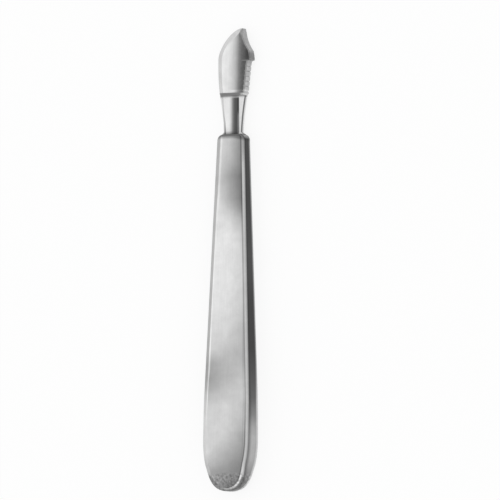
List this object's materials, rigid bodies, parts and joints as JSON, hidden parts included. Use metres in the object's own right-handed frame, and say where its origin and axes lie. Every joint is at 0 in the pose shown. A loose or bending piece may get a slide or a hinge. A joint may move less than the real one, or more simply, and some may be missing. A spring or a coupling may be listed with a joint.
{
  "type": "ear hook",
  "caption": "one-piece forged hand instrument with a long flat bevelled handle, a narrow neck and a small plate head ending in an offset tip, with a hooked tooth on one edge",
  "frame": {"origin": "middle of the overall length and width, on the surface that the handle's flat back rests on", "axes": "+Y runs from the handle's round end to the head's tip, +X is the side of the head with the hooked tooth, +Z is the instrument's front"},
  "size_m": [0.016, 0.14, 0.0071],
  "materials": {
    "steel": "polished stainless steel with a fine satin grain along the handle"
  },
  "bodies": {
    "root": {"ear_hook": "steel"}
  },
  "joints": []
}
